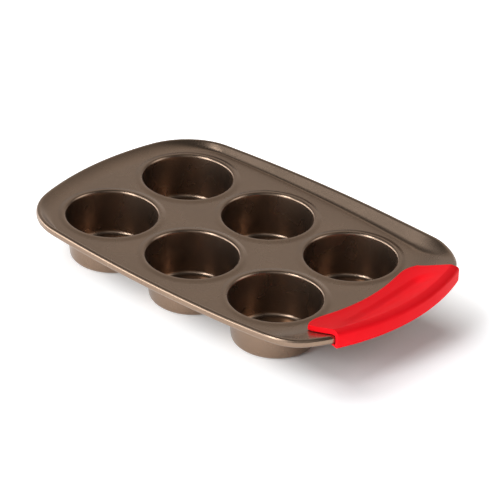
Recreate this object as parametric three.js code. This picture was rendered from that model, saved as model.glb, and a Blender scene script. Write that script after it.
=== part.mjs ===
// Six-cup muffin pan with a slip-on silicone grip on one end.
// Millimetres, +Z up. The cups stand on z = 0; the origin is under the middle
// of the whole object.
import * as THREE from 'three';

// ---------------------------------------------------------------- dimensions
const SHEET = 0.8;              // steel sheet thickness

// deck outline: bowed ends, slightly bowed long sides, round corners
const END_GRIP = 157.1;         // from the middle to the grip end
const END_PLAIN = 157.4;        // from the middle to the plain end
const HALF_WIDTH = 101.0;
const R_SIDE = 1128;            // bow of the long sides
const SIDE_X = 6.0;             // middle of that bow, from the middle of the outline
const R_END_GRIP = 190;         // bow of the grip end (+X)
const R_END_PLAIN = 229;        // bow of the plain end (-X)
const R_CORNER = 52;
const OUTLINE_X = -2.0;         // middle of the outline, from the origin

// deck levels
const DECK_TOP = 34.3;          // flat top of the deck above the table
const RISE_PLAIN = 3.2;         // rim above the deck at the plain end
const RISE_CORNER = 0.9;        // first climb round the plain end's corners
const RISE_SLOPE = 0.0195;      // steady climb of the rim towards the grip end
const RISE_GRIP = 1.5;          // extra climb over the last stretch
const WING_PLAIN = 17.0;        // width of the upswept border, plain end
const WING_SIDE_A = 8.5;        // ... long side, plain half
const WING_SIDE_B = 14.0;       // ... long side, grip half
const RAMP = 41.5;              // length of the ramp up to the grip end
const BEAD_R = 2.2;             // outside radius of the rolled edge
const BEAD_FLAT = 1.8;          // straight face between its two roundings
const WIRE_R = 1.0;             // wire inside the rolled edge

// cups
const PITCH = 82.2;
const GRID_X = -16.0;           // middle of the cup grid, from the origin
const SEG = 26;                 // sides of each round
const THROAT_R = 34.3;          // inside radius just below the lip
const LIP_R = 2.3;              // rounding from flange into wall
const FLANGE_R = 40.7;
const FLANGE_T = 0.6;           // flange thickness
const FLANGE_TOP = 35.2;        // the flange lies on the deck
const BASE_R = 30.7;            // outside wall line carried down to the table
const BASE_FILLET = 4.2;        // outside
const HOLE_R = 37.3;            // hole in the deck

// grip
const GRIP_HALF_ANGLE = 20.2;   // degrees, from the centre of the end's bow
const GRIP_GAP = 0.5;           // clearance to the deck
const GRIP_FLAP = 4.1;          // thickness of the top flap
const GRIP_WALL = 3.0;          // outer wall, at the ends
const GRIP_BULGE = 0.8;         // added to it at the middle
const GRIP_INNER = 38.9;        // reach of the flap inward
const GRIP_ROUND = 8.5;         // taken off it by the rounded inner corners
const GRIP_FLARE = 0.0029;      // share by which the ends open per mm inward
const GRIP_LIP = 3.6;           // reach of the lower lip under the rolled edge
const GRIP_LIP_DROP = 8.2;      // underside of the lower lip below the rim top
const RECESS = 1.2;             // thumb recess

// ------------------------------------------------------------------- helpers
const rad = (d) => (d * Math.PI) / 180;
const lerp = (a, b, t) => a + (b - a) * t;
const smooth = (t) => { t = Math.min(1, Math.max(0, t)); return t * t * (3 - 2 * t); };

class Skin {
  constructor() { this.v = []; this.t = []; }
  point(x, y, z) { this.v.push(x, y, z); return this.v.length / 3 - 1; }
  tri(a, b, c) { this.t.push(a, b, c); }
  // joins two rows of indices of equal length; closed rows wrap around
  strip(a, b, closed) {
    const n = a.length;
    for (let i = 0; i < (closed ? n : n - 1); i++) {
      const j = (i + 1) % n;
      this.tri(a[i], a[j], b[j]);
      this.tri(a[i], b[j], b[i]);
    }
  }
  geometry() {
    const g = new THREE.BufferGeometry();
    g.setAttribute('position', new THREE.Float32BufferAttribute(this.v, 3));
    g.setIndex(this.t);
    g.computeVertexNormals();
    return g;
  }
}

// ------------------------------------------------------------------- outline
// centre of a corner arc that touches the side arc and an end arc
function cornerCentre(rEnd, end, sx) {
  const ax = sx, ay = HALF_WIDTH - R_SIDE, ra = R_SIDE - R_CORNER;
  const bx = end - rEnd, by = 0, rb = rEnd - R_CORNER;
  const dx = bx - ax, dy = by - ay, d = Math.hypot(dx, dy);
  const k = (d * d + ra * ra - rb * rb) / (2 * d);
  const h = Math.sqrt(ra * ra - k * k);
  const px = ax + (dx * k) / d, py = ay + (dy * k) / d;
  const c1 = [px - (dy * h) / d, py + (dx * h) / d];
  const c2 = [px + (dy * h) / d, py - (dx * h) / d];
  return c1[1] > c2[1] ? c1 : c2;
}
const cornerA = cornerCentre(R_END_GRIP, END_GRIP, SIDE_X);      // +X +Y
const cornerB = cornerCentre(R_END_PLAIN, END_PLAIN, -SIDE_X);    // mirrored to -X
const endA = END_GRIP - R_END_GRIP;
const endB = -(END_PLAIN - R_END_PLAIN);
const psi1 = Math.atan2(cornerA[1], cornerA[0] - endA);
const psi2 = Math.atan2(cornerA[1] - (HALF_WIDTH - R_SIDE), cornerA[0] - SIDE_X);
const psi3 = Math.PI - Math.atan2(cornerB[1] - (HALF_WIDTH - R_SIDE), cornerB[0] + SIDE_X);
const psi4 = Math.PI - Math.atan2(cornerB[1], cornerB[0] + endB);

// point of the outline whose outward normal has the angle psi (0 = +X)
function outlinePoint(psi) {
  let a = Math.atan2(Math.sin(psi), Math.cos(psi));
  const side = a < 0 ? -1 : 1;
  a = Math.abs(a);
  let cx, cy, r;
  if (a <= psi1) { cx = endA; cy = 0; r = R_END_GRIP; }
  else if (a <= psi2) { cx = cornerA[0]; cy = cornerA[1]; r = R_CORNER; }
  else if (a <= psi3) { cx = SIDE_X; cy = HALF_WIDTH - R_SIDE; r = R_SIDE; }
  else if (a <= psi4) { cx = -cornerB[0]; cy = cornerB[1]; r = R_CORNER; }
  else { cx = endB; cy = 0; r = R_END_PLAIN; }
  return { x: cx + r * Math.cos(a), y: side * (cy + r * Math.sin(a)),
           nx: Math.cos(a), ny: side * Math.sin(a), psi: a };
}
// height of the rim above the flat deck along the long sides and the plain end
function rise(x) {
  return RISE_PLAIN + RISE_CORNER * smooth((x + END_PLAIN) / 50)
    + RISE_SLOPE * (x + END_PLAIN) + RISE_GRIP * smooth((x - 60) / 97);
}
// share of the climb at t (0 = flat deck, 1 = rim): hollow curve, then straight
function climb(t, hollow) {
  t = Math.min(1, Math.max(0, t));
  return t < hollow ? (t * t) / (hollow * (2 - hollow)) : (2 * t - hollow) / (2 - hollow);
}
const sideWing = (x) => lerp(WING_SIDE_A, WING_SIDE_B, Math.min(1, Math.max(0, (x + 100) / 200)));

// grip half: a ramp up to the end, and the side border standing on it, so that
// the border's crease runs out to the rim at the corner
function gripHalf(x, y) {
  const de = R_END_GRIP - Math.hypot(x - endA, y);
  const ramp = rise(END_GRIP) * climb((RAMP - de) / (RAMP - BEAD_R), 0.5);
  const ds = R_SIDE - Math.hypot(x - SIDE_X, Math.abs(y) - (HALF_WIDTH - R_SIDE));
  const w = sideWing(x);
  return ramp + Math.max(0, rise(x) - ramp) * climb((w - ds) / (w - BEAD_R), 0.4);
}
// plain half: the border follows the outline, softer towards the end
function plainWing(p) {
  if (p.psi <= psi3) return sideWing(p.x);
  if (p.psi <= psi4) return lerp(WING_SIDE_A, WING_PLAIN, (p.psi - psi3) / (psi4 - psi3));
  return WING_PLAIN;
}
function above(p, d) {
  if (p.x > 0) return gripHalf(p.x - d * p.nx, p.y - d * p.ny);
  const w = plainWing(p), hollow = lerp(0.4, 0.9, smooth((p.psi - psi3) / (psi4 - psi3)));
  return rise(p.x) * climb((w - d) / (w - BEAD_R), hollow);
}
const rimTop = (p) => DECK_TOP + above(p, BEAD_R);
// distance from the outline in to the flat deck
function wing(p) {
  if (p.x <= 0) return plainWing(p);
  let d = 60;
  while (d > 5 && above(p, d - 0.25) < 1e-9) d -= 0.25;
  return d;
}

function stations() {
  const out = [];
  const run = (a, b, n) => { for (let i = 0; i < n; i++) out.push(outlinePoint(lerp(a, b, i / n))); };
  run(-psi1, psi1, 10);
  run(psi1, psi2, 9);
  run(psi2, psi3, 7);
  run(psi3, psi4, 9);
  run(psi4, 2 * Math.PI - psi4, 6);
  run(2 * Math.PI - psi4, 2 * Math.PI - psi3, 9);
  run(2 * Math.PI - psi3, 2 * Math.PI - psi2, 7);
  run(2 * Math.PI - psi2, 2 * Math.PI - psi1, 9);
  return out;
}
const ring = stations();

// ----------------------------------------------------------------- the cups
const cupSpots = [
  ['cup_front_left', -1, -0.5], ['cup_front_middle', 0, -0.5], ['cup_front_right', 1, -0.5],
  ['cup_back_left', -1, 0.5], ['cup_back_middle', 0, 0.5], ['cup_back_right', 1, 0.5],
].map(([name, i, j]) => ({ name, x: GRID_X + i * PITCH, y: j * PITCH }));

function cupProfile() {
  const zLip = FLANGE_TOP - LIP_R;            // centre of the lip rounding
  const rLip = THROAT_R + LIP_R;
  const taper = Math.atan2(THROAT_R + SHEET - BASE_R, zLip);
  const n = [-Math.cos(taper), Math.sin(taper)];
  const pts = [];
  const outerFillet = BASE_FILLET, innerFillet = BASE_FILLET - SHEET;
  const wallX = (z, off) => BASE_R + z * Math.tan(taper) - off / Math.cos(taper);
  // one centre serves both base roundings
  const cz = outerFillet, cx = wallX(cz, outerFillet);
  const base = [-90, -50, -(taper * 180) / Math.PI];
  const lip = [180 - (taper * 180) / Math.PI, 135, 90];
  pts.push([0, 0]);
  for (const a of base) pts.push([cx + outerFillet * Math.cos(rad(a)), cz + outerFillet * Math.sin(rad(a))]);
  const lipOut = LIP_R - SHEET;
  for (const a of lip.slice(0, 2)) pts.push([rLip + lipOut * Math.cos(rad(a)), zLip + lipOut * Math.sin(rad(a))]);
  pts.push([rLip + 0.3, FLANGE_TOP - FLANGE_T], [FLANGE_R, FLANGE_TOP - FLANGE_T],
    [FLANGE_R, FLANGE_TOP - 0.35], [FLANGE_R - 0.9, FLANGE_TOP]);
  for (const a of [...lip].reverse()) pts.push([rLip + LIP_R * Math.cos(rad(a)), zLip + LIP_R * Math.sin(rad(a))]);
  for (const a of [...base].reverse()) pts.push([cx + innerFillet * Math.cos(rad(a)), cz + innerFillet * Math.sin(rad(a))]);
  pts.push([0, SHEET]);
  return pts.map(([r, z]) => new THREE.Vector2(Math.max(0, r), z));
}

// --------------------------------------------------------------- the deck
function deckGeometry() {
  const s = new Skin();
  const tops = [0, 0.22, 0.42, 0.58, 0.72, 0.83, 0.92];
  // angle round the rolled edge, and how far down the straight face
  const curl = [[0, 0], [45, 0], [90, 0], [90, 1], [135, 1], [180, 1], [235, 1]];
  const rows = [];
  for (const p of ring) {
    const w = wing(p), zr = rimTop(p);
    const sec = [];
    for (const t of tops) {
      const d = w - t * (w - BEAD_R);
      sec.push([d, DECK_TOP + above(p, d)]);
    }
    const bend = (r, [a, low]) => [BEAD_R - r * Math.sin(rad(a)), zr - BEAD_R - low * BEAD_FLAT + r * Math.cos(rad(a))];
    for (const c of curl) sec.push(bend(BEAD_R, c));
    for (const c of [...curl].reverse()) sec.push(bend(BEAD_R - SHEET, c));
    for (const t of [...tops].reverse()) {
      const d = w - t * (w - BEAD_R);
      sec.push([d, DECK_TOP - SHEET + above(p, d)]);
    }
    rows.push(sec.map(([d, z]) => s.point(p.x - d * p.nx + OUTLINE_X, p.y - d * p.ny, z)));
  }
  const m = rows[0].length;
  for (let k = 0; k < m - 1; k++) {
    s.strip(rows.map((r) => r[k + 1]), rows.map((r) => r[k]), true);
  }
  // hole for each cup, through the sheet
  const holes = cupSpots.map(({ x, y }) => {
    const levels = [[HOLE_R, DECK_TOP], [HOLE_R, DECK_TOP - SHEET]];
    const loops = levels.map(([r, z]) => Array.from({ length: SEG }, (_, i) => {
      const f = (i / SEG) * 2 * Math.PI;
      return s.point(x + r * Math.sin(f), y - r * Math.cos(f), z);
    }));
    for (let k = 0; k < loops.length - 1; k++) s.strip(loops[k], loops[k + 1], true);
    return { top: loops[0], bottom: loops[loops.length - 1] };
  });
  const plan = (i) => new THREE.Vector2(s.v[3 * i], s.v[3 * i + 1]);
  const face = (outer, inner, up) => {
    const ids = [...outer, ...inner.flat()];
    const tris = THREE.ShapeUtils.triangulateShape(outer.map(plan), inner.map((l) => l.map(plan)));
    for (const [a, b, c] of tris) {
      const A = plan(ids[a]), B = plan(ids[b]), C = plan(ids[c]);
      const ccw = (B.x - A.x) * (C.y - A.y) - (B.y - A.y) * (C.x - A.x) > 0;
      if (ccw === up) s.tri(ids[a], ids[b], ids[c]); else s.tri(ids[a], ids[c], ids[b]);
    }
  };
  face(rows.map((r) => r[0]), holes.map((h) => h.top), true);
  face(rows.map((r) => r[m - 1]), holes.map((h) => h.bottom), false);
  return s.geometry();
}

// wire closed on itself, lying in the middle of the rolled edge
function wireGeometry() {
  const s = new Skin();
  const sides = 6;
  const rows = ring.map((p) => {
    const zc = rimTop(p) - BEAD_R - BEAD_FLAT / 2;
    return Array.from({ length: sides }, (_, k) => {
      const a = ((k + 0.5) / sides) * 2 * Math.PI;
      const d = BEAD_R - WIRE_R * Math.cos(a);
      return s.point(p.x - d * p.nx + OUTLINE_X, p.y - d * p.ny, zc + WIRE_R * Math.sin(a));
    });
  });
  for (let i = 0; i < rows.length; i++) s.strip(rows[(i + 1) % rows.length], rows[i], true);
  return s.geometry();
}

// --------------------------------------------------------------- the grip
// distance from the centre of the end's bow to the outline along the ray theta
function rayToOutline(theta) {
  const a = Math.abs(theta);
  if (a <= psi1) return R_END_GRIP;
  const cx = cornerA[0] - endA, cy = cornerA[1];
  const b = cx * Math.cos(a) + cy * Math.sin(a);
  return b + Math.sqrt(b * b - (cx * cx + cy * cy - R_CORNER * R_CORNER));
}
function gripGeometry() {
  const s = new Skin();
  const half = [0.19, 0.38, 0.56, 0.72, 0.84, 0.92, 0.97, 1];
  const along = [...half.map((u) => -u).reverse(), 0, ...half];
  const steps = along.length - 1;
  const rows = [];
  for (let i = 0; i <= steps; i++) {
    const u = along[i];
    const theta = rad(GRIP_HALF_ANGLE) * u;
    const rho = rayToOutline(theta);
    const at = (d) => {
      const f = theta * (1 + GRIP_FLARE * Math.max(0, d));
      return [endA + (rho - d) * Math.cos(f), (rho - d) * Math.sin(f)];
    };
    const zr = DECK_TOP + gripHalf(...at(BEAD_R));
    const under = (d) => (d <= BEAD_R + 0.4 ? zr : Math.min(zr, DECK_TOP + gripHalf(...at(d)))) + GRIP_GAP;
    const din = GRIP_INNER - GRIP_ROUND * u ** 10;
    const bowl = RECESS * (1 - smooth((Math.abs(u) - 0.55) / 0.35));
    const f = GRIP_FLAP, bead = 2 * BEAD_R + BEAD_FLAT;
    const out = -GRIP_GAP - GRIP_WALL - GRIP_BULGE * (1 - u * u);
    const sec = [
      [din, under(din) + 0.4],
      [din, under(din) + f - 1.3],
      [din - 1.3, under(din - 1.3) + f],
      [din * 0.75, under(din * 0.75) + f - 0.7 * bowl],
      [din * 0.5, under(din * 0.5) + f - bowl],
      [din * 0.25, under(din * 0.25) + f - 0.7 * bowl],
      [1.5, zr + GRIP_GAP + f - 0.2],
      [out + 1.5, zr + GRIP_GAP + f - 0.7],
      [out, zr + GRIP_GAP + f - 2.2],
      [out, zr - 0.6],
      [out, zr - GRIP_LIP_DROP + 2.4],
      [out + 1.6, zr - GRIP_LIP_DROP],
      [GRIP_LIP - 0.5, zr - GRIP_LIP_DROP],
      [GRIP_LIP, zr - GRIP_LIP_DROP + 0.3],
      [GRIP_LIP, zr - bead - 1.45],
      [1.4, zr - bead - GRIP_GAP],
      [-GRIP_GAP, zr - bead - GRIP_GAP],
      [-GRIP_GAP, zr + GRIP_GAP],
      [BEAD_R, zr + GRIP_GAP],
      [din * 0.25, under(din * 0.25)],
      [din * 0.5, under(din * 0.5)],
      [din * 0.75, under(din * 0.75)],
      [din - 1.3, under(din - 1.3)],
    ];
    rows.push(sec.map(([d, z]) => { const [x, y] = at(d); return s.point(x + OUTLINE_X, y, z); }));
    if (i === 0 || i === steps) {
      const flat = sec.map(([d, z]) => new THREE.Vector2(-d, z));
      const tris = THREE.ShapeUtils.triangulateShape(flat, []);
      const ids = rows[rows.length - 1];
      for (const [a, b, c] of tris) {
        const A = flat[a], B = flat[b], C = flat[c];
        const ccw = (B.x - A.x) * (C.y - A.y) - (B.y - A.y) * (C.x - A.x) > 0;
        // looking along +Y (front end) the section runs outwards to the right
        if (ccw === (i === 0)) s.tri(ids[a], ids[b], ids[c]); else s.tri(ids[a], ids[c], ids[b]);
      }
    }
  }
  for (let i = 0; i < steps; i++) s.strip(rows[i], rows[i + 1], true);
  return s.geometry();
}

// -------------------------------------------------------------- the assembly
const coat = () => new THREE.MeshStandardMaterial({ color: 0x7a6753, roughness: 0.38, metalness: 0.75 });
const pan = new THREE.Group();

const deck = new THREE.Mesh(deckGeometry(), coat());
deck.name = 'deck_plate';
pan.add(deck);

const wire = new THREE.Mesh(wireGeometry(),
  new THREE.MeshStandardMaterial({ color: 0x9a9a98, roughness: 0.35, metalness: 1.0 }));
wire.name = 'rim_wire';
pan.add(wire);

for (const { name, x, y } of cupSpots) {
  const g = new THREE.LatheGeometry(cupProfile(), SEG);
  g.rotateX(Math.PI / 2);
  const cup = new THREE.Mesh(g, coat());
  cup.name = name;
  cup.position.set(x, y, 0);
  pan.add(cup);
}

const grip = new THREE.Mesh(gripGeometry(),
  new THREE.MeshStandardMaterial({ color: 0xe8141f, roughness: 0.5, metalness: 0.0 }));
grip.name = 'end_grip';
pan.add(grip);

export default pan;
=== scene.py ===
import math

import bpy
import numpy as np
from mathutils import Matrix, Vector
from mathutils.geometry import tessellate_polygon


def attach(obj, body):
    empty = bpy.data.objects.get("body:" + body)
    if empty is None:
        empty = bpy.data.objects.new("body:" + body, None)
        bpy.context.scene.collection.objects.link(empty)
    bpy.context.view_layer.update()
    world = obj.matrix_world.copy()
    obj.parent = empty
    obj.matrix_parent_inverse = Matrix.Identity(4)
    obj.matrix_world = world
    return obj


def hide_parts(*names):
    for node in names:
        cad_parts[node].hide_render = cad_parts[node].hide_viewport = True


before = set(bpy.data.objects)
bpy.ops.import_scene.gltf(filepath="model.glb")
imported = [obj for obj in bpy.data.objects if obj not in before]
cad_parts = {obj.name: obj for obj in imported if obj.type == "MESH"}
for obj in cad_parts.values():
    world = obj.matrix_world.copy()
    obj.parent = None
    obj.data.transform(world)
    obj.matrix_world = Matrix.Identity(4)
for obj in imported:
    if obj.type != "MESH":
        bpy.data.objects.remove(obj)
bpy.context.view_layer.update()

MM = 0.001

# ------------------------------------------------------------------ dimensions
# the same driving dimensions as the solids, in millimetres
SHEET = 0.8
END_GRIP, END_PLAIN, HALF_WIDTH = 157.1, 157.4, 101.0
R_SIDE, SIDE_X, R_END_GRIP, R_END_PLAIN, R_CORNER = 1128.0, 6.0, 190.0, 229.0, 52.0
OUTLINE_X = -2.0
DECK_TOP = 34.3
RISE_PLAIN, RISE_CORNER, RISE_SLOPE, RISE_GRIP = 3.2, 0.9, 0.0195, 1.5
WING_PLAIN, WING_SIDE_A, WING_SIDE_B, RAMP = 17.0, 8.5, 14.0, 41.5
BEAD_R, BEAD_FLAT, WIRE_R = 2.2, 1.8, 1.0
PITCH, GRID_X = 82.2, -16.0
THROAT_R, LIP_R, FLANGE_R, FLANGE_T, FLANGE_TOP = 34.3, 2.3, 40.7, 0.6, 35.2
BASE_R, BASE_FILLET, HOLE_R = 30.7, 4.2, 37.3
GRIP_HALF_ANGLE, GRIP_GAP, GRIP_FLAP, GRIP_WALL, GRIP_BULGE = 20.2, 0.5, 4.1, 3.0, 0.8
GRIP_INNER, GRIP_ROUND, GRIP_FLARE = 38.9, 8.5, 0.0029
GRIP_LIP, GRIP_LIP_DROP = 3.6, 8.2
# painted light on the floor: it glows at full strength far from the pan, and the glow fades out round the pan's
# footprint as a painted shadow
PAINTED_SHADOW_NEAR, PAINTED_SHADOW_FAR, PAINTED_FLOOR_GLOW = 0.004, 0.062, 0.80   # metres, metres, strength


def lerp(a, b, t):
    return a + (b - a) * t


def smooth(t):
    t = min(1.0, max(0.0, t))
    return t * t * (3 - 2 * t)


# --------------------------------------------------------------------- outline
def corner_centre(r_end, end, sx):
    ax, ay, ra = sx, HALF_WIDTH - R_SIDE, R_SIDE - R_CORNER
    bx, by, rb = end - r_end, 0.0, r_end - R_CORNER
    dx, dy = bx - ax, by - ay
    d = math.hypot(dx, dy)
    k = (d * d + ra * ra - rb * rb) / (2 * d)
    h = math.sqrt(ra * ra - k * k)
    px, py = ax + dx * k / d, ay + dy * k / d
    return max(((px - dy * h / d, py + dx * h / d), (px + dy * h / d, py - dx * h / d)), key=lambda c: c[1])


CA, CB = corner_centre(R_END_GRIP, END_GRIP, SIDE_X), corner_centre(R_END_PLAIN, END_PLAIN, -SIDE_X)
EA, EB = END_GRIP - R_END_GRIP, -(END_PLAIN - R_END_PLAIN)
PSI1 = math.atan2(CA[1], CA[0] - EA)
PSI2 = math.atan2(CA[1] - (HALF_WIDTH - R_SIDE), CA[0] - SIDE_X)
PSI3 = math.pi - math.atan2(CB[1] - (HALF_WIDTH - R_SIDE), CB[0] + SIDE_X)
PSI4 = math.pi - math.atan2(CB[1], CB[0] + EB)


class Station:
    """A point of the outline whose outward normal has the angle psi."""

    def __init__(self, psi):
        a = math.atan2(math.sin(psi), math.cos(psi))
        side = -1.0 if a < 0 else 1.0
        a = abs(a)
        if a <= PSI1:
            cx, cy, r = EA, 0.0, R_END_GRIP
        elif a <= PSI2:
            cx, cy, r = CA[0], CA[1], R_CORNER
        elif a <= PSI3:
            cx, cy, r = SIDE_X, HALF_WIDTH - R_SIDE, R_SIDE
        elif a <= PSI4:
            cx, cy, r = -CB[0], CB[1], R_CORNER
        else:
            cx, cy, r = EB, 0.0, R_END_PLAIN
        self.x, self.y = cx + r * math.cos(a), side * (cy + r * math.sin(a))
        self.nx, self.ny, self.psi = math.cos(a), side * math.sin(a), a

    def at(self, d):
        return self.x - d * self.nx, self.y - d * self.ny


def rise(x):
    return (RISE_PLAIN + RISE_CORNER * smooth((x + END_PLAIN) / 50)
            + RISE_SLOPE * (x + END_PLAIN) + RISE_GRIP * smooth((x - 60) / 97))


def climb(t, h):
    """Share of the climb at t, from the flat deck (0) to the rim (1): a hollow curve, then straight."""
    t = min(1.0, max(0.0, t))
    return t * t / (h * (2 - h)) if t < h else (2 * t - h) / (2 - h)


def side_wing(x):
    return lerp(WING_SIDE_A, WING_SIDE_B, min(1.0, max(0.0, (x + 100) / 200)))


def grip_half(x, y):
    """Grip half: a ramp up to the end, and the side border standing on it."""
    de = R_END_GRIP - math.hypot(x - EA, y)
    ramp_up = rise(END_GRIP) * climb((RAMP - de) / (RAMP - BEAD_R), 0.5)
    ds = R_SIDE - math.hypot(x - SIDE_X, abs(y) - (HALF_WIDTH - R_SIDE))
    w = side_wing(x)
    return ramp_up + max(0.0, rise(x) - ramp_up) * climb((w - ds) / (w - BEAD_R), 0.4)


def plain_wing(p):
    if p.psi <= PSI3:
        return side_wing(p.x)
    if p.psi <= PSI4:
        return lerp(WING_SIDE_A, WING_PLAIN, (p.psi - PSI3) / (PSI4 - PSI3))
    return WING_PLAIN


def above(p, d):
    """Height of the sheet over the flat deck, at d from the outline."""
    if p.x > 0:
        return grip_half(*p.at(d))
    w = plain_wing(p)
    return rise(p.x) * climb((w - d) / (w - BEAD_R), lerp(0.4, 0.9, smooth((p.psi - PSI3) / (PSI4 - PSI3))))


def wing(p):
    """Distance from the outline in to the flat deck."""
    if p.x <= 0:
        return plain_wing(p)
    d = 60.0
    while d > 5 and above(p, d - 0.1) < 1e-9:
        d -= 0.1
    return d


def edge(p):
    """Where the border meets the rolled edge: border width, rim top, stretch, slope there, its place."""
    amp = above(p, BEAD_R)
    raw = above(p, BEAD_R + 0.4) - above(p, BEAD_R + 1.4)
    k = 1.0
    for _ in range(20):
        tau = math.atan(k * raw)
        k = 1 + BEAD_R * (1 / math.cos(tau) - 1) / amp
    return wing(p), DECK_TOP + amp, k, tau, BEAD_R * (1 + math.sin(tau))


def stations(step):
    out = []
    runs = [(-PSI1, PSI1, R_END_GRIP), (PSI1, PSI2, R_CORNER), (PSI2, PSI3, R_SIDE), (PSI3, PSI4, R_CORNER),
            (PSI4, 2 * math.pi - PSI4, R_END_PLAIN), (2 * math.pi - PSI4, 2 * math.pi - PSI3, R_CORNER),
            (2 * math.pi - PSI3, 2 * math.pi - PSI2, R_SIDE), (2 * math.pi - PSI2, 2 * math.pi - PSI1, R_CORNER)]
    for a, b, r in runs:
        n = max(4, round(abs(b - a) * r / step))
        out += [Station(lerp(a, b, i / n)) for i in range(n)]
    return out


# ------------------------------------------------------------------ mesh tools
class Skin:
    def __init__(self):
        self.v, self.f = [], []

    def point(self, x, y, z):
        self.v.append((x * MM, y * MM, z * MM))
        return len(self.v) - 1

    def strip(self, a, b, closed):
        n = len(a)
        for i in range(n if closed else n - 1):
            j = (i + 1) % n
            self.f.append((a[i], a[j], b[j], b[i]))

    def flat(self, outer, holes, up):
        loops = [outer, *holes]
        ids = [i for l in loops for i in l]
        tris = tessellate_polygon([[Vector((self.v[i][0] / MM, self.v[i][1] / MM, 0)) for i in l] for l in loops])
        for a, b, c in tris:
            A, B, C = (self.v[ids[k]] for k in (a, b, c))
            area = (B[0] - A[0]) * (C[1] - A[1]) - (B[1] - A[1]) * (C[0] - A[0])
            if abs(area) < 1e-14:
                continue
            self.f.append((ids[a], ids[b], ids[c]) if (area > 0) == up else (ids[a], ids[c], ids[b]))

    def build(self, name):
        me = bpy.data.meshes.new(name)
        me.from_pydata(self.v, [], self.f)
        me.validate()
        me.update()
        for poly in me.polygons:
            poly.use_smooth = True
        ob = bpy.data.objects.new(name, me)
        bpy.context.scene.collection.objects.link(ob)
        return ob


def sharpen(ob, degrees):
    """Marks edges sharper than this, so that smooth shading keeps them crisp."""
    ob.data.set_sharp_from_angle(angle=math.radians(degrees))


# ------------------------------------------------------------------- materials
def material(name):
    m = bpy.data.materials.new(name)
    m.use_nodes = True
    nt = m.node_tree
    bsdf = nt.nodes["Principled BSDF"]
    return m, nt, bsdf


def node(nt, kind, **inputs):
    n = nt.nodes.new(kind)
    for k, v in inputs.items():
        n.inputs[k.replace("_", " ")].default_value = v
    return n


def noise(nt, coord, scale, detail=2.0, rough=0.5):
    n = nt.nodes.new("ShaderNodeTexNoise")
    n.inputs["Scale"].default_value = scale
    n.inputs["Detail"].default_value = detail
    n.inputs["Roughness"].default_value = rough
    nt.links.new(coord, n.inputs["Vector"])
    return n.outputs["Fac"]


def ramp(nt, fac, stops):
    r = nt.nodes.new("ShaderNodeValToRGB")
    e = r.color_ramp.elements
    while len(e) > 1:
        e.remove(e[0])
    e[0].position, e[0].color = stops[0][0], stops[0][1]
    for pos, col in stops[1:]:
        s = e.new(pos)
        s.color = col
    nt.links.new(fac, r.inputs["Fac"])
    return r.outputs["Color"]


def spread(nt, fac, lo, hi, to_lo, to_hi):
    m = nt.nodes.new("ShaderNodeMapRange")
    m.inputs["From Min"].default_value, m.inputs["From Max"].default_value = lo, hi
    m.inputs["To Min"].default_value, m.inputs["To Max"].default_value = to_lo, to_hi
    nt.links.new(fac, m.inputs["Value"])
    return m.outputs["Result"]


def mix_colour(nt, fac, a, b, how="MIX"):
    m = nt.nodes.new("ShaderNodeMix")
    m.data_type, m.blend_type = "RGBA", how
    for sock, val in ((m.inputs[0], fac), (m.inputs[6], a), (m.inputs[7], b)):
        if isinstance(val, bpy.types.NodeSocket):
            nt.links.new(val, sock)
        else:
            sock.default_value = val
    return m.outputs[2]


def sums(nt, how, *values):
    m = nt.nodes.new("ShaderNodeMath")
    m.operation = how
    for k, val in enumerate(values):
        if isinstance(val, bpy.types.NodeSocket):
            nt.links.new(val, m.inputs[k])
        else:
            m.inputs[k].default_value = val
    return m.outputs[0]


def bump(nt, height, strength, distance, normal=None):
    b = nt.nodes.new("ShaderNodeBump")
    b.inputs["Strength"].default_value = strength
    b.inputs["Distance"].default_value = distance
    nt.links.new(height, b.inputs["Height"])
    if normal is not None:
        nt.links.new(normal, b.inputs["Normal"])
    return b.outputs["Normal"]


def coat_material():
    m, nt, bsdf = material("bronze_nonstick_coat")
    co = nt.nodes.new("ShaderNodeTexCoord").outputs["Object"]
    flake = noise(nt, co, 1700, 3.0, 0.6)          # metal flake in the coating
    grain = noise(nt, co, 520, 2.0, 0.5)           # spray texture
    cloud = noise(nt, co, 26, 3.0, 0.55)           # slow drift of tone
    base = ramp(nt, flake, [(0.30, (0.248, 0.170, 0.120, 1)), (0.52, (0.288, 0.199, 0.142, 1)), (0.74, (0.348, 0.246, 0.180, 1))])
    tone = ramp(nt, cloud, [(0.3, (0.95, 0.95, 0.95, 1)), (0.7, (1.04, 1.03, 1.02, 1))])
    nt.links.new(mix_colour(nt, 1.0, base, tone, "MULTIPLY"), bsdf.inputs["Base Color"])
    nt.links.new(spread(nt, cloud, 0.3, 0.7, 0.255, 0.285), bsdf.inputs["Roughness"])
    n1 = bump(nt, grain, 0.06, 0.00012)
    nt.links.new(bump(nt, flake, 0.05, 0.00005, n1), bsdf.inputs["Normal"])
    bsdf.inputs["Metallic"].default_value = 0.96
    return m


def silicone_material():
    m, nt, bsdf = material("red_silicone")
    co = nt.nodes.new("ShaderNodeTexCoord").outputs["Object"]
    fine = noise(nt, co, 1400, 2.0, 0.5)
    cloud = noise(nt, co, 45, 3.0, 0.5)
    base = ramp(nt, cloud, [(0.3, (0.92, 0.004, 0.010, 1)), (0.7, (0.96, 0.006, 0.014, 1))])
    nt.links.new(base, bsdf.inputs["Base Color"])
    nt.links.new(spread(nt, cloud, 0.3, 0.7, 0.46, 0.54), bsdf.inputs["Roughness"])
    nt.links.new(bump(nt, fine, 0.06, 0.00008), bsdf.inputs["Normal"])
    bsdf.inputs["Specular IOR Level"].default_value = 0.06
    return m


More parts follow.
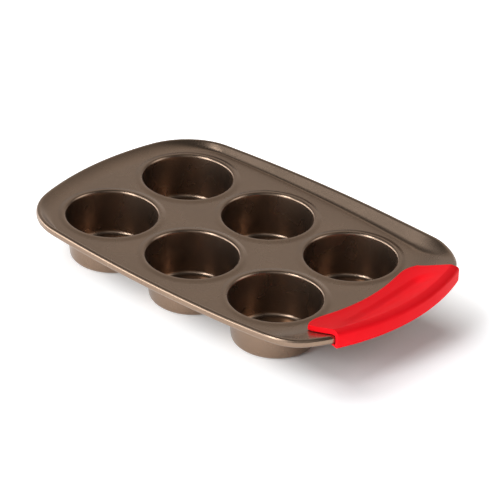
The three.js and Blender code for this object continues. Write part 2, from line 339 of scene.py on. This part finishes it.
def wire_material():
    m, nt, bsdf = material("drawn_steel")
    co = nt.nodes.new("ShaderNodeTexCoord").outputs["Object"]
    fine = noise(nt, co, 900, 3.0, 0.6)
    nt.links.new(ramp(nt, fine, [(0.3, (0.42, 0.42, 0.41, 1)), (0.7, (0.62, 0.62, 0.60, 1))]), bsdf.inputs["Base Color"])
    nt.links.new(spread(nt, fine, 0.3, 0.7, 0.28, 0.42), bsdf.inputs["Roughness"])
    bsdf.inputs["Metallic"].default_value = 1.0
    return m


def floor_material():
    m, nt, bsdf = material("studio_floor")
    co = nt.nodes.new("ShaderNodeTexCoord").outputs["Object"]
    fine = noise(nt, co, 40, 3.0, 0.5)
    nt.links.new(ramp(nt, fine, [(0.3, (0.90, 0.90, 0.90, 1)), (0.7, (0.92, 0.92, 0.92, 1))]), bsdf.inputs["Base Color"])
    bsdf.inputs["Roughness"].default_value = 0.9
    bsdf.inputs["Specular IOR Level"].default_value = 0.0
    # painted light: the floor glows away from the pan, and the glow fades out towards the pan's footprint (set a little
    # to the right) as a painted shadow under and beside it
    sep = nt.nodes.new("ShaderNodeSeparateXYZ")
    nt.links.new(co, sep.inputs[0])
    out = []
    for axis, mid, half in (("X", 0.022, 0.120), ("Y", 0.004, 0.046)):
        far = sums(nt, "SUBTRACT", sums(nt, "ABSOLUTE", sums(nt, "SUBTRACT", sep.outputs[axis], mid)), half)
        out.append(sums(nt, "MAXIMUM", far, 0.0))
    away = sums(nt, "SQRT", sums(nt, "ADD", sums(nt, "POWER", out[0], 2.0), sums(nt, "POWER", out[1], 2.0)))
    painted_glow = spread(nt, away, PAINTED_SHADOW_NEAR, PAINTED_SHADOW_FAR, 0.0, PAINTED_FLOOR_GLOW)
    bsdf.inputs["Emission Color"].default_value = (1, 1, 1, 1)
    nt.links.new(painted_glow, bsdf.inputs["Emission Strength"])
    return m


COAT, RED, STEEL = coat_material(), silicone_material(), wire_material()

# ------------------------------------------------------------------------ cups
CUPS = [("cup_front_left", -1, -0.5), ("cup_front_middle", 0, -0.5), ("cup_front_right", 1, -0.5),
        ("cup_back_left", -1, 0.5), ("cup_back_middle", 0, 0.5), ("cup_back_right", 1, 0.5)]


def arc(cx, cz, r, a0, a1, n):
    return [(cx + r * math.cos(math.radians(lerp(a0, a1, i / n))),
             cz + r * math.sin(math.radians(lerp(a0, a1, i / n)))) for i in range(n + 1)]


def run(p, q, n):
    """Points strictly between p and q."""
    return [(lerp(p[0], q[0], i / n), lerp(p[1], q[1], i / n)) for i in range(1, n)]


def swell(t):
    """Straight climb with soft ends."""
    k = 0.22
    if t < k:
        return t * t / (2 * k * (1 - k))
    if t > 1 - k:
        return 1 - (1 - t) ** 2 / (2 * k * (1 - k))
    return (t - k / 2) / (1 - k)


def cup_profile():
    z_lip, r_lip = FLANGE_TOP - LIP_R, THROAT_R + LIP_R
    taper = math.atan2(THROAT_R + SHEET - BASE_R, z_lip)
    td = math.degrees(taper)

    def wall(z, off):
        return BASE_R + z * math.tan(taper) - off / math.cos(taper)

    cz, cx = BASE_FILLET, wall(BASE_FILLET, BASE_FILLET)
    out = [(r, 0.0) for r in (8.0, 16.0, 22.0)]
    out += arc(cx, cz, BASE_FILLET, -90, -td, 10)
    lip_out = arc(r_lip, z_lip, LIP_R - SHEET, 180 - td, 110, 5)
    out += run(out[-1], lip_out[0], 8) + lip_out
    out += [(r_lip + 0.5, FLANGE_TOP - FLANGE_T)]
    out += [(HOLE_R + 0.4, DECK_TOP + 0.12), (FLANGE_R + 0.05, DECK_TOP + 0.05)]
    # the flange's top runs out softly on to the deck
    ring = [(lerp(FLANGE_R + 0.2, r_lip + 0.2, t),
             DECK_TOP + 0.06 + (FLANGE_TOP - DECK_TOP - 0.06) * swell(t)) for t in np.linspace(0, 1, 17)]
    out += ring
    lip_in = arc(r_lip, z_lip, LIP_R, 90, 180 - td, 12)
    base_in = arc(cx, cz, BASE_FILLET - SHEET, -td, -90, 12)
    out += lip_in + run(lip_in[-1], base_in[0], 14) + base_in
    out += [(r, SHEET) for r in (22.0, 16.0, 8.0)]
    return out


def build_cup(name, x, y, segments=144):
    s = Skin()
    prof = cup_profile()
    bottom = s.point(x, y, 0.0)
    rows = []
    for r, z in prof:
        rows.append([s.point(x + r * math.cos(2 * math.pi * k / segments), y + r * math.sin(2 * math.pi * k / segments), z)
                     for k in range(segments)])
    top = s.point(x, y, SHEET)
    for k in range(segments):
        j = (k + 1) % segments
        s.f.append((bottom, rows[0][j], rows[0][k]))
        s.f.append((top, rows[-1][k], rows[-1][j]))
    for a, b in zip(rows, rows[1:]):
        s.strip(a, b, True)
    ob = s.build(name)
    ob.data.materials.append(COAT)
    return ob


for name, i, j in CUPS:
    cup = build_cup(name + "_body", GRID_X + i * PITCH, j * PITCH)
    sharpen(cup, 50)
    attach(cup, "pan")
    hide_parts(name)

# ------------------------------------------------------------------------ deck
def build_deck():
    s = Skin()
    ring = stations(2.2)
    ts = [(i / 30) ** 1.0 for i in range(30)]
    rows = []
    for p in ring:
        w, zr, k, tau, d_end = edge(p)
        td = math.degrees(tau)
        lift = [(w - t * (w - d_end), k * above(p, w - t * (w - d_end))) for t in ts]
        sec = [(w + 0.8, DECK_TOP), (w + 0.3, DECK_TOP)]
        sec += [(d, DECK_TOP + h) for d, h in lift]
        curl = [(a, 0) for a in np.linspace(-td, 90, 14)] + [(a, 1) for a in np.linspace(90, 235, 15)]

        def bend(r, a, low):
            return BEAD_R - r * math.sin(math.radians(a)), zr - BEAD_R - low * BEAD_FLAT + r * math.cos(math.radians(a))

        sec += [bend(BEAD_R, a, low) for a, low in curl]
        sec += [bend(BEAD_R - SHEET, a, low) for a, low in reversed(curl)]
        sec += [(d, DECK_TOP - SHEET + h) for d, h in reversed(lift)]
        sec += [(w + 0.3, DECK_TOP - SHEET), (w + 0.8, DECK_TOP - SHEET)]
        rows.append([s.point(p.x - d * p.nx + OUTLINE_X, p.y - d * p.ny, z) for d, z in sec])
    m = len(rows[0])
    for k in range(m - 1):
        s.strip([r[k + 1] for r in rows], [r[k] for r in rows], True)
    n = 120
    top_holes, low_holes = [], []
    for name, i, j in CUPS:
        x, y = GRID_X + i * PITCH, j * PITCH

        def circle(r, z):
            return [s.point(x + r * math.cos(2 * math.pi * k / n), y + r * math.sin(2 * math.pi * k / n), z) for k in range(n)]

        loops = [circle(HOLE_R + 0.6, DECK_TOP), circle(HOLE_R + 0.1, DECK_TOP), circle(HOLE_R, DECK_TOP - 0.1),
                 circle(HOLE_R, DECK_TOP - SHEET + 0.1), circle(HOLE_R + 0.1, DECK_TOP - SHEET),
                 circle(HOLE_R + 0.6, DECK_TOP - SHEET)]
        for a, b in zip(loops, loops[1:]):
            s.strip(b, a, True)
        top_holes.append(loops[0])
        low_holes.append(loops[-1])
    s.flat([r[0] for r in rows], top_holes, True)
    s.flat([r[m - 1] for r in rows], low_holes, False)
    ob = s.build("deck_sheet")
    ob.data.materials.append(COAT)
    return ob


deck = build_deck()
sharpen(deck, 50)
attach(deck, "pan")
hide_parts("deck_plate")

# ------------------------------------------------------------------------ wire
def build_wire():
    s = Skin()
    rows = []
    for p in stations(3.0):
        zc = DECK_TOP + above(p, BEAD_R) - BEAD_R - BEAD_FLAT / 2
        rows.append([])
        for k in range(14):
            a = 2 * math.pi * k / 14
            d = BEAD_R - WIRE_R * math.cos(a)
            rows[-1].append(s.point(p.x - d * p.nx + OUTLINE_X, p.y - d * p.ny, zc + WIRE_R * math.sin(a)))
    for i in range(len(rows)):
        s.strip(rows[(i + 1) % len(rows)], rows[i], True)
    ob = s.build("wire_in_rim")
    ob.data.materials.append(STEEL)
    return ob


wire = build_wire()
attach(wire, "pan")
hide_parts("rim_wire")

# ------------------------------------------------------------------------ grip
def fillet(points, radii, n=5):
    """Closed polyline with rounded corners."""
    out = []
    m = len(points)
    for i in range(m):
        p0, p1, p2 = (np.array(points[k % m], float) for k in (i - 1 + m, i, i + 1))
        r = radii[i]
        if r <= 0:
            out.append(tuple(p1))
            continue
        u, v = p0 - p1, p2 - p1
        lu, lv = np.linalg.norm(u), np.linalg.norm(v)
        u, v = u / lu, v / lv
        half = math.acos(max(-1, min(1, float(u @ v)))) / 2
        if half > math.radians(88):
            out.append(tuple(p1))
            continue
        cut = min(r / math.tan(half), 0.48 * lu, 0.48 * lv)
        rr = cut * math.tan(half)
        bis = (u + v) / np.linalg.norm(u + v)
        c = p1 + bis * (rr / math.sin(half))
        a, b = p1 + u * cut, p1 + v * cut
        ang0, ang1 = math.atan2(*(a - c)[::-1]), math.atan2(*(b - c)[::-1])
        dd = (ang1 - ang0 + math.pi) % (2 * math.pi) - math.pi
        out += [tuple(c + rr * np.array([math.cos(ang0 + dd * k / n), math.sin(ang0 + dd * k / n)])) for k in range(n + 1)]
    return out


def ray_to_outline(theta):
    a = abs(theta)
    if a <= PSI1:
        return R_END_GRIP
    cx, cy = CA[0] - EA, CA[1]
    b = cx * math.cos(a) + cy * math.sin(a)
    return b + math.sqrt(b * b - (cx * cx + cy * cy - R_CORNER * R_CORNER))


def recess(u, d, din):
    """Depth of the thumb recess in the flap's top: a long scoop, steep on its inner side."""
    brow = float(np.interp(u, [-0.95, -0.68, -0.32, 0.04, 0.37, 0.65, 0.80], [0.30, 0.52, 0.70, 0.77, 0.76, 0.70, 0.62]))
    along = (1 - smooth((u - 0.60) / 0.22)) * (1 - smooth((-u - 0.50) / 0.46))
    t = d / din
    return 2.4 * along * smooth((t - 0.08) / (brow - 0.28)) * (1 - smooth((t - brow + 0.20) / 0.20))


def build_grip():
    s = Skin()
    bead = 2 * BEAD_R + BEAD_FLAT
    n_in = 30
    rows, last = [], None

    def section(u, inset):
        theta = math.radians(GRIP_HALF_ANGLE) * u
        rho = ray_to_outline(theta)

        def at(d):
            f = theta * (1 + GRIP_FLARE * max(0.0, d))
            return EA + (rho - d) * math.cos(f), (rho - d) * math.sin(f)

        zr = DECK_TOP + grip_half(*at(BEAD_R))
        din = GRIP_INNER - GRIP_ROUND * abs(u) ** 10
        base = [min(zr, DECK_TOP + 1.017 * grip_half(*at(d))) + GRIP_GAP for d in np.linspace(BEAD_R, din, n_in)]
        ds = list(np.linspace(BEAD_R, din, n_in))

        def under(d):
            return zr + GRIP_GAP if d <= BEAD_R else float(np.interp(d, ds, base))

        f = GRIP_FLAP
        tops = list(np.linspace(din - 2.4, 2.6, 34))
        top = [(d, under(d) + f - recess(u, d, din)) for d in tops]
        out_r = -GRIP_GAP - GRIP_WALL - GRIP_BULGE * (1 - u * u)
        # rounded inner edge of the flap
        za, zb = under(din) + 0.25, under(din) + f
        edge = fillet([(din - 2.4, za - 0.25), (din, za - 0.1), (din, zb), (din - 2.4, under(din - 2.4) + f)], [0, 0.7, 1.5, 0], 5)
        edge = edge[1:-1]
        zt = under(2.6) + f
        shell = fillet([top[-1], (out_r, zt - 0.55), (out_r - 0.1, zr - GRIP_LIP_DROP + 1.2), (out_r + 0.9, zr - GRIP_LIP_DROP),
                        (GRIP_LIP, zr - GRIP_LIP_DROP), (GRIP_LIP, zr - bead - 1.45), (1.4, zr - bead - GRIP_GAP),
                        (-GRIP_GAP, zr - bead - GRIP_GAP), (-GRIP_GAP, zr + GRIP_GAP), (BEAD_R, zr + GRIP_GAP)],
                       [0, 2.6, 0.9, 0.9, 0.35, 0.35, 0.8, 1.6, 1.6, 0], 6)[1:-1]
        inner = [(d, under(d)) for d in np.linspace(BEAD_R, din - 2.0, 26)]
        sec = edge + top + shell + inner
        if inset > 0:
            p = np.array(sec)
            t = np.roll(p, -1, 0) - np.roll(p, 1, 0)
            t /= np.linalg.norm(t, axis=1)[:, None] + 1e-12
            # the section runs clockwise as (d, z) is drawn here, so the inside is on this side
            q = p + inset * np.c_[t[:, 1], -t[:, 0]] * SIGN
            sec = [tuple(x) for x in q]
        return sec, at

    p = np.array(section(0.0, 0)[0])
    area = 0.5 * np.sum(p[:, 0] * np.roll(p[:, 1], -1) - np.roll(p[:, 0], -1) * p[:, 1])
    SIGN = -1.0 if area > 0 else 1.0
    half = math.radians(GRIP_HALF_ANGLE) * 160.0       # mm along the middle of the flap
    R_END = 0.20                                       # the lip under the edge is thin
    steps = [(u, 0.0) for u in np.linspace(-1 + R_END / half, 1 - R_END / half, 121)]
    ends = [(1 - (R_END / half) * (1 - math.sin(a)), R_END * (1 - math.cos(a))) for a in np.linspace(0, math.pi / 2, 5)][1:]
    plan = [(-u, i) for u, i in reversed(ends)] + steps + ends
    for u, inset in plan:
        sec, at = section(float(u), float(inset))
        rows.append([s.point(at(d)[0] + OUTLINE_X, at(d)[1], z) for d, z in sec])
    for a, b in zip(rows, rows[1:]):
        s.strip(a, b, True)
    s.f.append(tuple(reversed(rows[0])))
    s.f.append(tuple(rows[-1]))
    ob = s.build("grip_sleeve")
    ob.data.materials.append(RED)
    return ob


grip = build_grip()
sharpen(grip, 60)
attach(grip, "grip")
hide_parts("end_grip")

# ----------------------------------------------------------------------- stage
me = bpy.data.meshes.new("floor")
S = 6.0
me.from_pydata([(-S, -S, -0.0002), (S, -S, -0.0002), (S, S, -0.0002), (-S, S, -0.0002)], [], [(0, 1, 2, 3)])
floor = bpy.data.objects.new("floor", me)
bpy.context.scene.collection.objects.link(floor)
me.materials.append(floor_material())

scene = bpy.context.scene
scene.view_settings.view_transform = "Standard"
scene.view_settings.look = "None"

world = bpy.data.worlds.new("studio")
scene.world = world
world.use_nodes = True
nt = world.node_tree
bg = nt.nodes["Background"]
toward = nt.nodes.new("ShaderNodeTexCoord").outputs["Generated"]

# soft lights round the table: compass angle from +X, elevation, brightness, tightness, tint
COOL, WARM, PLAIN = (0.96, 1.01, 1.05), (1.03, 1.0, 0.96), (1.0, 1.0, 1.0)
LIGHTS = [
    # large low boxes in front and to the left
    (186, 4, 2.8, 30, COOL), (208, 4, 5.0, 30, COOL), (230, 4, 6.2, 30, COOL), (250, 4, 2.8, 30, COOL), (272, 5, 2.4, 30, COOL),
    (268, 20, 2.4, 30, COOL),
    # key
    (265, 31, 18.0, 160, COOL), (265, 50, 13.0, 160, COOL), (220, 39, 1.1, 160, COOL), (224, 54, 0.5, 120, COOL),
    # fills: back right, and dim and wide from the front
    (32, 24, 1.6, 30, PLAIN), (42, 40, 2.0, 30, PLAIN), (311, 50, 0.46, 20, PLAIN), (311, 24, 0.26, 20, PLAIN),
    # pale sweep behind
    (90, 6, 0.57, 30, WARM), (120, 6, 0.63, 30, WARM), (150, 6, 0.57, 30, WARM), (180, 6, 0.43, 30, WARM),
    (120, 20, 0.27, 30, WARM), (90, 34, 0.24, 30, WARM), (120, 34, 0.22, 30, WARM), (148, 34, 0.43, 30, WARM),
    (108, 48, 0.21, 30, WARM), (140, 48, 0.31, 30, WARM), (135, 66, 0.30, 30, WARM), (206, 46, 0.10, 30, WARM),
]
total = (0.02, 0.02, 0.02)
for az, el, level, tight, tint in LIGHTS:
    ca, ce = math.radians(az), math.radians(el)
    dot = nt.nodes.new("ShaderNodeVectorMath")
    dot.operation = "DOT_PRODUCT"
    nt.links.new(toward, dot.inputs[0])
    dot.inputs[1].default_value = (math.cos(ce) * math.cos(ca), math.cos(ce) * math.sin(ca), math.sin(ce))
    lobe = sums(nt, "EXPONENT", sums(nt, "MULTIPLY", sums(nt, "SUBTRACT", dot.outputs["Value"], 1.0), tight))
    add = nt.nodes.new("ShaderNodeVectorMath")
    add.operation = "MULTIPLY_ADD"
    nt.links.new(lobe, add.inputs[0])
    add.inputs[1].default_value = tuple(level * t for t in tint)
    if isinstance(total, tuple):
        add.inputs[2].default_value = total
    else:
        nt.links.new(total, add.inputs[2])
    total = add.outputs["Vector"]
nt.links.new(total, bg.inputs["Color"])
bg.inputs["Strength"].default_value = 1.0

# ---------------------------------------------------------------------- camera
AZ, EL, ROLL, DIST, FOCAL, OX, OY = 41.004, 30.190, 2.862, 2364.592, 3200.0, -19.505, -15.509
a, e, r = (math.radians(v) for v in (AZ, EL, ROLL))
back = Vector((math.sin(a) * math.cos(e), -math.cos(a) * math.cos(e), math.sin(e)))
r0 = Vector((math.cos(a), math.sin(a), 0))
u0 = back.cross(r0)
right = math.cos(r) * r0 + math.sin(r) * u0
up = -math.sin(r) * r0 + math.cos(r) * u0
place = back * DIST - right * (OX * DIST / FOCAL) + up * (OY * DIST / FOCAL) + Vector((GRID_X, 0, FLANGE_TOP))
cam_data = bpy.data.cameras.new("camera")
cam_data.sensor_width = 36.0
cam_data.lens = FOCAL / 500.0 * 36.0
cam_data.clip_start, cam_data.clip_end = 0.05, 50
cam = bpy.data.objects.new("camera", cam_data)
scene.collection.objects.link(cam)
cam.matrix_world = Matrix((
    (right.x, up.x, back.x, place.x * MM),
    (right.y, up.y, back.y, place.y * MM),
    (right.z, up.z, back.z, place.z * MM),
    (0, 0, 0, 1)))
scene.camera = cam
